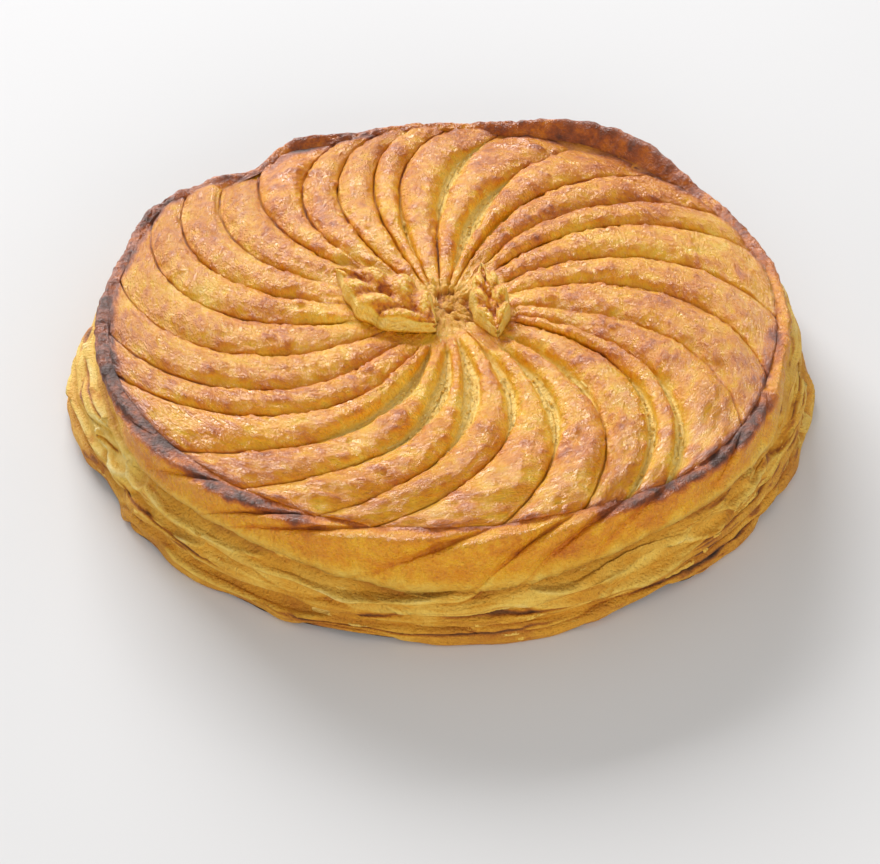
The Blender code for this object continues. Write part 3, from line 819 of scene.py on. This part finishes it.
def crumb_weight(cells):
    """Where loose crumbs gather on the lid: in the gaping cuts and in the hollow."""
    radius, _bearing = places(cells["points"])
    number, distance, half = cut_places(cells["column"], radius)
    inside = (distance < half) * (half > 0.4 * MM)
    hollow = 1.0 - ramp(radius, 0.014, 0.024)
    return radius * (inside * 1.0 + 0.35 * hollow)


def lifted(points, path):
    """The bottom sheet's edge stands off the ground here and there."""
    _radius, bearing = places(points)
    height = swells(LIFTS, bearing) * MM
    near_ground = ramp(path, 2.80, 3.0)
    return points + np.stack([0.0 * height, 0.0 * height, height * near_ground], axis=-1)


def make_lip():
    cells = grid(np.linspace(1.0, 2.0, LIP_RINGS), COLUMNS)
    cells["beyond"] = beyond_crease(cells["points"], cells["path"])
    relief, layers = lip_detail(cells)
    normal = normals(cells["points"])
    outer = cells["points"] + normal * relief[..., None]
    outer[0] = cells["points"][0]
    _radius, bearing = places(outer[-1:])
    ragged = 0.9 * noise(outer[-1:] / MM / 6.0, 141) + 0.5 * noise(outer[-1:] / MM / 2.0, 143)
    hem = np.minimum(outer[-1:, :, 2], outer[-2:-1, :, 2]) + (ragged - 0.3) * MM * ramp(lip_hang(bearing), 0.06, 0.2)
    outer[-1:, :, 2] = hem
    middle = np.array([*SWIRL_MIDDLE, 0.0])
    under = [outer[-1 - back] - normal[-1 - back] * thick
             for back, thick in ((0, HEM_THICKNESS), (2, 1.6 * HEM_THICKNESS), (6, 4.0 * HEM_THICKNESS))]
    under.append(middle + (under[-1] - middle) * (0.94, 0.94, 0.98))
    inner = [middle + (outer[0] - middle) * (share, share, 1.0) - (0.0, 0.0, 0.004) for share in (0.5, 0.97)]
    points = np.concatenate([np.array(inner), outer, np.array(under)])
    layers = {name: np.concatenate([values[:1]] * 2 + [values] + [values[-1:]] * 4)
              for name, values in layers.items()}
    ends = (middle + (0.0, 0.0, RIM_HEIGHT - 0.004), middle + (0.0, 0.0, RIM_HEIGHT - 0.008))
    return ring_object("crust_lip", points, layers, wall_skin(points), ends)


def make_wall():
    cells = grid(np.linspace(2.0001, 3.0, WALL_RINGS), COLUMNS)
    relief, layers = wall_detail(cells)
    outer = cells["points"] + normals(cells["points"]) * relief[..., None]
    outer = lifted(outer, cells["path"])
    outer[..., 2] = np.maximum(outer[..., 2], 0.0)
    middle = np.array([*SWIRL_MIDDLE, 0.0])
    behind = [middle + (outer[0] - middle) * (share, share, 1.0) + (0.0, 0.0, rise)
              for share, rise in ((0.5, 0.0015), (0.975, 0.0015))]
    under = [middle + (outer[-1] - middle) * (share, share, 0.0 if share < 0.95 else 0.6)
             for share in (0.985, 0.93, 0.5)]
    points = np.concatenate([np.array(behind), outer, np.array(under)])
    layers = {name: np.concatenate([values[:1]] * 2 + [values] + [values[-1:]] * 3)
              for name, values in layers.items()}
    ends = (middle + (0.0, 0.0, 0.5 * RIM_HEIGHT), middle)
    return ring_object("crust_wall", points, layers, wall_skin(points), ends), outer


def wall_skin(points):
    return points / MM * (1.0, 1.0, 1.3)


# ---- pastry leaves ----------------------------------------------------------------------------
ORNAMENT_RINGS = 130
ORNAMENT_TOP = 90         # columns over the top and sides of a leaf
ORNAMENT_UNDER = 14       # and under it


def ornament_points(length, width, thickness):
    """Rings of points on the part's plain leaf, from its tip to its stalk, in the leaf's own axes."""
    along = np.cos(np.linspace(0.03, np.pi - 0.03, ORNAMENT_RINGS))
    around = np.concatenate([np.linspace(0.0, np.pi, ORNAMENT_TOP, endpoint=False),
                             np.linspace(np.pi, 2.0 * np.pi, ORNAMENT_UNDER, endpoint=False)])
    along, around = np.meshgrid(along, around, indexing="ij")
    side = np.cos(around)
    lift = np.sqrt(np.maximum(0.0, 1.0 - np.abs(side) ** LEAF_SQUARENESS)) * (around < np.pi)
    fullness = 1.0 - along ** 2
    vein = np.cos(np.pi * VEIN_PAIRS * (along - VEIN_SLANT * np.abs(side)))
    half_width = 0.5 * width * fullness ** LEAF_POINT * (1.0 - LEAF_TAPER * along) * (1.0 - LOBE_DEPTH * vein)
    height = thickness * mix(TIP_THICKNESS, 1.0, fullness) * lift
    midrib = MIDRIB_DEPTH * np.exp(-(side / MIDRIB_WIDTH) ** 2)
    height = height - lift * fullness * (midrib + VEIN_DEPTH * vein)
    return np.stack([0.5 * length * along, half_width * side, height], axis=-1), lift, vein, side


def make_ornament(name):
    (middle_x, middle_y), length, width, thickness, turn = LEAVES[name]
    points, lift, vein, side = ornament_points(length, width, thickness)
    cosine, sine = math.cos(math.radians(turn)), math.sin(math.radians(turn))
    x = middle_x + points[..., 0] * cosine - points[..., 1] * sine
    y = middle_y + points[..., 0] * sine + points[..., 1] * cosine
    under = dome_height(x.ravel(), y.ravel(), RIM_RADIUS).reshape(x.shape)
    points = np.stack([x + SWIRL_MIDDLE[0], y + SWIRL_MIDDLE[1], points[..., 2] + under + LEAF_GAP], axis=-1)
    normal = normals(points)
    mm = points / MM
    top = ramp(normal[..., 2], 0.35, 0.80)
    flank = (1.0 - top) * ramp(lift, 0.02, 0.25)
    grains = pebbles(mm / 1.35, 201)
    specks = pebbles(mm / 0.75, 205)
    lumps = noise(mm / 4.0, 207)
    layer = noise(np.stack([mm[..., 0] / 7.0, mm[..., 1] / 7.0, mm[..., 2] / 0.75], axis=-1), 209)
    rib = np.exp(-(side / MIDRIB_WIDTH) ** 2)
    relief = top * (0.42 * (grains - 0.5) + 0.16 * (specks - 0.5)) + 0.25 * lumps * ramp(lift, 0.0, 0.3)
    relief = relief - top * (0.60 * ramp(vein, 0.3, 1.0) + 0.7 * rib)
    relief = relief + flank * (0.16 * layer + 0.10 * noise(mm / 1.3, 211))
    # lumps brown more; the grain and speck tops are lighter and the hollows between them darker, as painted highlights
    # and painted shade, and the midrib groove gets painted shade
    bake_and_painted_light = 0.50 + 0.13 * lumps - 0.22 * (grains - 0.4) + 0.10 * (0.5 - specks) + 0.16 * rib
    rim = band(normal[..., 2], 0.45, 0.75, 0.15) * ramp(noise(mm / 5.0, 213), -0.1, 0.4)
    # the leaf's shoulders are browned, and the vein grooves get painted shade
    bake_and_painted_light = bake_and_painted_light + 0.24 * rim * top + 0.10 * vein * top
    raw = flank * (0.35 + 0.25 * noise(mm / 3.0, 215))
    bake_and_painted_light = mix(bake_and_painted_light, 0.20 + 0.06 * layer + 0.08 * noise(mm / 2.5, 217), np.clip(1.2 * flank, 0.0, 1.0))
    outer = points + normal * relief[..., None] * MM
    skin = np.stack([mm[..., 0], mm[..., 1], mm[..., 2]], axis=-1)
    ends = (outer[0].mean(axis=0), outer[-1].mean(axis=0))
    return ring_object("crust_" + name, outer, {"bake_and_painted_light": bake_and_painted_light, "raw": np.clip(raw, 0.0, 1.0)}, skin, ends)


# ---- crumbs and flakes ------------------------------------------------------------------------
CRUMBS = 600
WALL_FLAKES = 240
CUT_STRANDS = 420


def loose_object(name, vertices, faces, bake_and_painted_light, raw):
    """One mesh of many small closed bodies."""
    mesh = bpy.data.meshes.new(name)
    mesh.from_pydata(vertices.tolist(), [], faces)
    for layer, values in (("bake_and_painted_light", bake_and_painted_light), ("raw", raw)):
        mesh.attributes.new(layer, "FLOAT", "POINT").data.foreach_set("value", values.astype(np.float32))
    skin = mesh.attributes.new("skin", "FLOAT_VECTOR", "POINT")
    skin.data.foreach_set("vector", (vertices / MM).astype(np.float32).ravel())
    piece = bpy.data.objects.new(name, mesh)
    bpy.context.scene.collection.objects.link(piece)
    return piece


def icosahedron():
    golden = 0.5 * (1.0 + math.sqrt(5.0))
    corners = [(0, one, golden * two) for one in (-1, 1) for two in (-1, 1)]
    corners = corners + [(b, c, a) for a, b, c in corners] + [(c, a, b) for a, b, c in corners]
    corners = np.array(corners, dtype=float)
    faces = []
    for face in itertools.combinations(range(12), 3):
        first, second, third = corners[list(face)]
        sides = (first - second, second - third, third - first)
        if all(abs(np.linalg.norm(side) - 2.0) < 0.01 for side in sides):
            outwards = np.dot(np.cross(second - first, third - first), first) > 0.0
            faces.append(face if outwards else face[::-1])
    return corners / np.linalg.norm(corners[0]), faces


def scattered(weight, count, random):
    """Random cells of a table, the likelier the more weight they have."""
    chance = np.ravel(weight) / weight.sum()
    return np.unravel_index(random.choice(chance.size, count, p=chance), weight.shape)


def make_crumbs(lid, weight):
    """Crumbs that lie on the lid, most of them in the gaping cuts and round the leaves."""
    random = np.random.default_rng(11)
    corners, triangles = icosahedron()
    normal = normals(lid)
    vertices, faces, bake_and_painted_light = [], [], []
    for ring, column in zip(*scattered(weight, CRUMBS, random)):
        size = random.gamma(4.0, 0.070) * MM
        stretch = size * random.uniform(0.5, 1.4, 3)
        turn, _rest = np.linalg.qr(random.normal(size=(3, 3)))
        turn = turn * np.sign(np.linalg.det(turn))
        body = (corners * random.uniform(0.75, 1.25, (12, 1)) * stretch) @ turn.T
        faces += [[corner + 12 * len(vertices) for corner in face] for face in triangles]
        vertices.append(lid[ring, column] + normal[ring, column] * size * 0.45 + body)
        bake_and_painted_light.append(np.full(12, random.uniform(0.05, 0.26)))
    bake_and_painted_light = np.concatenate(bake_and_painted_light)
    return loose_object("crumbs", np.concatenate(vertices), faces, bake_and_painted_light, np.full(bake_and_painted_light.shape, 0.9))


def sheet(points, thickness):
    """A closed thin sheet on a table of points: its vertices and faces."""
    rows, columns = points.shape[:2]
    normal = np.cross(np.gradient(points, axis=0), np.gradient(points, axis=1))
    normal = normal / np.maximum(np.linalg.norm(normal, axis=-1, keepdims=True), 1e-12)
    back = points - normal * thickness
    index = np.arange(rows * columns).reshape(rows, columns)
    quads = np.stack([index[:-1, :-1], index[1:, :-1], index[1:, 1:], index[:-1, 1:]], axis=-1).reshape(-1, 4)
    under = quads[:, ::-1] + rows * columns
    edge = np.concatenate([index[0, :-1], index[:-1, -1], index[-1, :0:-1], index[:0:-1, 0]])
    after = np.roll(edge, -1)
    sides = np.stack([edge, after, after + rows * columns, edge + rows * columns], axis=-1)
    faces = np.concatenate([quads, under, sides])
    return np.concatenate([points.reshape(-1, 3), back.reshape(-1, 3)]), faces


def peeled(surface, normal, ring, column, rows, columns, lift, random):
    """A patch of a surface whose far edge stands off it."""
    count = surface.shape[1]
    ring = min(ring, surface.shape[0] - rows)
    wide = (column + np.arange(columns)) % count
    patch = surface[ring:ring + rows][:, wide]
    outwards = normal[ring:ring + rows][:, wide]
    across = np.linspace(-1.0, 1.0, columns)[None, :]
    down = np.linspace(0.0, 1.0, rows)[:, None]
    stand = -0.15 + lift * down ** 1.4 * (1.0 - 0.5 * across ** 2) + random.normal(0.0, 0.06, (rows, columns))
    patch = patch + outwards * stand[..., None] * MM
    start = patch[:1] - patch[0].mean(axis=0)
    narrow = (1.0 - random.uniform(0.2, 0.8) * down ** 2)[..., None]
    middle = patch[:, columns // 2][:, None]
    return middle + (patch - middle) * narrow + 0.0 * start


def make_flakes(side, lid, weight):
    """Thin flakes that peel off the wall, and strands of crumb in the gaping cuts."""
    random = np.random.default_rng(23)
    vertices, faces, bake_and_painted_light, total = [], [], [], 0
    wall_normal, lid_normal = normals(side), normals(lid)
    for ring in random.integers(6, WALL_RINGS - 14, WALL_FLAKES):
        shape = (random.integers(4, 9), random.integers(5, 18))
        patch = peeled(side, wall_normal, ring, random.integers(side.shape[1]), *shape,
                       random.uniform(0.15, 0.6), random)
        body, quads = sheet(patch, 0.14 * MM)
        vertices.append(body)
        faces += (quads + total).tolist()
        total += len(body)
        bake_and_painted_light.append(np.full(len(body), random.uniform(0.16, 0.36)))
    for ring, column in zip(*scattered(weight, CUT_STRANDS, random)):
        shape = (random.integers(4, 9), random.integers(2, 4))
        patch = peeled(lid, lid_normal, ring, column, *shape, random.uniform(0.1, 0.7), random)
        body, quads = sheet(patch, 0.12 * MM)
        vertices.append(body)
        faces += (quads + total).tolist()
        total += len(body)
        bake_and_painted_light.append(np.full(len(body), random.uniform(0.02, 0.30)))
    vertices, bake_and_painted_light = np.concatenate(vertices), np.concatenate(bake_and_painted_light)
    vertices[:, 2] = np.maximum(vertices[:, 2], 0.0)
    return loose_object("flakes", vertices, faces, bake_and_painted_light, np.full(bake_and_painted_light.shape, 1.0))


# ---- materials --------------------------------------------------------------------------------
class Nodes:
    """Short ways to add nodes to a material."""

    def __init__(self, name):
        self.material = bpy.data.materials.new(name)
        self.material.use_nodes = True
        self.tree = self.material.node_tree
        self.shader = self.tree.nodes["Principled BSDF"]
        self.place = self.add("ShaderNodeTexCoord").outputs["Object"]

    def add(self, kind, **values):
        node = self.tree.nodes.new(kind)
        for name, value in values.items():
            setattr(node, name, value)
        return node

    def feed(self, socket, value):
        if isinstance(value, bpy.types.NodeSocket):
            self.tree.links.new(value, socket)
        else:
            socket.default_value = value

    def attribute(self, name):
        return self.add("ShaderNodeAttribute", attribute_name=name).outputs["Fac"]

    def math(self, operation, first, second, clamp=False):
        node = self.add("ShaderNodeMath", operation=operation, use_clamp=clamp)
        self.feed(node.inputs[0], first)
        self.feed(node.inputs[1], second)
        return node.outputs[0]

    def noise(self, size, detail=3.0, roughness=0.55, stretch=(1.0, 1.0, 1.0), place=None):
        """Noise from 0 to 1 with features of a size in metres, or in the units of another place."""
        mapping = self.add("ShaderNodeMapping")
        self.feed(mapping.inputs["Vector"], place or self.place)
        mapping.inputs["Scale"].default_value = [1.0 / (size * share) for share in stretch]
        node = self.add("ShaderNodeTexNoise")
        self.feed(node.inputs["Vector"], mapping.outputs[0])
        node.inputs["Scale"].default_value = 1.0
        node.inputs["Detail"].default_value = detail
        node.inputs["Roughness"].default_value = roughness
        return node.outputs["Fac"]

    def cells(self, size):
        """Distance from the nearest of some scattered points, which are a size in metres apart."""
        node = self.add("ShaderNodeTexVoronoi", feature="F1")
        self.feed(node.inputs["Vector"], self.place)
        node.inputs["Scale"].default_value = 1.0 / size
        return node.outputs["Distance"]

    def ramp(self, value, stops):
        node = self.add("ShaderNodeValToRGB")
        self.feed(node.inputs[0], value)
        elements = node.color_ramp.elements
        while len(elements) < len(stops):
            elements.new(0.5)
        for element, (place, colour) in zip(elements, stops):
            element.position = place
            element.color = (*linear(colour), 1.0)
        return node.outputs["Color"]

    def blend(self, share, first, second, kind="MIX"):
        node = self.add("ShaderNodeMix", data_type="RGBA", blend_type=kind)
        self.feed(node.inputs[0], share)
        self.feed(node.inputs[6], first)
        self.feed(node.inputs[7], second)
        return node.outputs[2]

    def bump(self, height, distance, strength=1.0, normal=None):
        node = self.add("ShaderNodeBump")
        node.inputs["Strength"].default_value = strength
        node.inputs["Distance"].default_value = distance
        self.feed(node.inputs["Height"], height)
        if normal is not None:
            self.feed(node.inputs["Normal"], normal)
        return node.outputs["Normal"]


def linear(colour):
    """Scene-linear values of a colour given as 0 to 255."""
    shares = [value / 255.0 for value in colour]
    return [value / 12.92 if value < 0.04045 else ((value + 0.055) / 1.055) ** 2.4 for value in shares]


# baking share, with its painted shade and highlights, to colour, for the glazed skin and for bare pastry
GLAZED = (
    (0.05, (252, 224, 136)), (0.26, (246, 200, 70)), (0.40, (239, 173, 26)), (0.52, (228, 146, 10)),
    (0.64, (204, 112, 10)), (0.77, (160, 78, 24)), (0.90, (112, 56, 28)), (1.0, (74, 41, 28)),
)
BARE = (
    (0.0, (252, 232, 160)), (0.20, (244, 202, 88)), (0.36, (224, 160, 38)), (0.52, (186, 110, 18)),
    (0.70, (124, 74, 26)), (0.88, (70, 40, 22)), (1.0, (40, 26, 20)),
)


def pastry_material(name):
    nodes = Nodes(name)
    bake_and_painted_light, raw = nodes.attribute("bake_and_painted_light"), nodes.attribute("raw")
    skin = nodes.add("ShaderNodeAttribute", attribute_name="skin").outputs["Vector"]
    mottle = nodes.noise(3.4, 4.0, 0.65, (1.0, 1.0, 1.0), skin)
    crinkle = nodes.noise(1.0, 3.0, 0.7, (1.0, 1.0, 1.0), skin)
    shift = nodes.math("MULTIPLY", nodes.math("SUBTRACT", mottle, 0.5), 0.36)
    fine = nodes.math("MULTIPLY", nodes.math("SUBTRACT", crinkle, 0.5), 0.28)
    glazed = nodes.math("SUBTRACT", 1.0, nodes.math("MULTIPLY", raw, 0.6))
    uneven = nodes.math("MULTIPLY", nodes.math("ADD", shift, fine), glazed)
    baked = nodes.math("ADD", bake_and_painted_light, uneven, clamp=True)
    colour = nodes.blend(raw, nodes.ramp(baked, GLAZED), nodes.ramp(baked, BARE))
    nodes.feed(nodes.shader.inputs["Base Color"], colour)
    gloss = nodes.math("ADD", 0.17, nodes.math("MULTIPLY", mottle, 0.24))
    burnt = nodes.math("MULTIPLY", nodes.math("SUBTRACT", bake_and_painted_light, 0.62, clamp=True), 0.7)
    dull = nodes.math("ADD", burnt, nodes.math("MULTIPLY", raw, 0.35))
    rough = nodes.math("ADD", gloss, dull, clamp=True)
    nodes.feed(nodes.shader.inputs["Roughness"], rough)
    blister = nodes.bump(nodes.cells(0.0012), 0.00030, 1.0)
    crinkled = nodes.bump(crinkle, 0.0012, 1.0, blister)
    nodes.feed(nodes.shader.inputs["Normal"], crinkled)
    nodes.shader.inputs["Specular IOR Level"].default_value = 0.52
    return nodes.material


# ---- the scene --------------------------------------------------------------------------------
def make_floor():
    mesh = bpy.data.meshes.new("floor")
    size = 3.0
    mesh.from_pydata([(-size, -size, 0), (size, -size, 0), (size, size, 0), (-size, size, 0)], [], [(0, 1, 2, 3)])
    floor = bpy.data.objects.new("floor", mesh)
    bpy.context.scene.collection.objects.link(floor)
    nodes = Nodes("floor")
    tone = nodes.ramp(nodes.noise(0.4, 2.0), ((0.3, (213, 213, 214)), (0.7, (217, 217, 218))))
    nodes.feed(nodes.shader.inputs["Base Color"], tone)
    nodes.shader.inputs["Roughness"].default_value = 0.9
    nodes.shader.inputs["Specular IOR Level"].default_value = 0.1
    mesh.materials.append(nodes.material)


def make_light(name, place, target, size, watts, colour=(1.0, 1.0, 1.0)):
    data = bpy.data.lights.new(name, "AREA")
    data.shape = "RECTANGLE"
    data.size, data.size_y = size
    data.energy = watts
    data.color = colour
    light = bpy.data.objects.new(name, data)
    bpy.context.scene.collection.objects.link(light)
    light.location = place
    light.rotation_euler = (Vector(place) - Vector(target)).to_track_quat("Z", "Y").to_euler()


def make_lights():
    middle = (0.0, 0.0, 0.03)
    make_light("window", (-0.84, 2.50, 1.20), middle, (1.9, 1.0), 130.0, (0.99, 0.99, 1.0))
    make_light("fill", (0.50, -2.8, 1.0), middle, (2.8, 1.2), 44.0, (1.0, 0.96, 0.90))
    world = bpy.data.worlds.new("studio")
    world.use_nodes = True
    world.node_tree.nodes["Background"].inputs["Color"].default_value = (1.0, 0.99, 0.97, 1.0)
    world.node_tree.nodes["Background"].inputs["Strength"].default_value = 0.54
    bpy.context.scene.world = world


CAMERA_PLACE = (-0.00005, -0.76657, 0.6323)
CAMERA_TILT = 49.68       # degrees from straight down
CAMERA_ROLL = -0.77
CAMERA_LENS = 122.73      # mm, for a sensor of 36 mm


def make_camera():
    data = bpy.data.cameras.new("camera")
    data.lens = CAMERA_LENS
    data.sensor_width = 36.0
    camera = bpy.data.objects.new("camera", data)
    bpy.context.scene.collection.objects.link(camera)
    tilt = Matrix.Rotation(math.radians(CAMERA_TILT), 4, "X")
    roll = Matrix.Rotation(math.radians(CAMERA_ROLL), 4, "Z")
    camera.matrix_world = Matrix.Translation(CAMERA_PLACE) @ tilt @ roll
    bpy.context.scene.camera = camera


def dress(piece, material, slot, *nodes):
    piece.data.materials.append(material)
    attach(piece, "root")
    if nodes:
        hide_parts(*nodes)


def main():
    crust = pastry_material("glazed_crust")
    lid, lid_points, weight = make_lid()
    wall, wall_points = make_wall()
    for piece in (lid, make_lip(), wall):
        dress(piece, crust, "glazed_crust", "galette")
    leaf = pastry_material("glazed_leaf")
    for name in LEAVES:
        dress(make_ornament(name), leaf, "glazed_leaf", name)
    dress(make_crumbs(lid_points, weight), crust, "glazed_crust")
    dress(make_flakes(wall_points, lid_points, weight), crust, "glazed_crust")
    make_floor()
    make_lights()
    make_camera()
    bpy.context.scene.view_settings.view_transform = "Standard"


main()
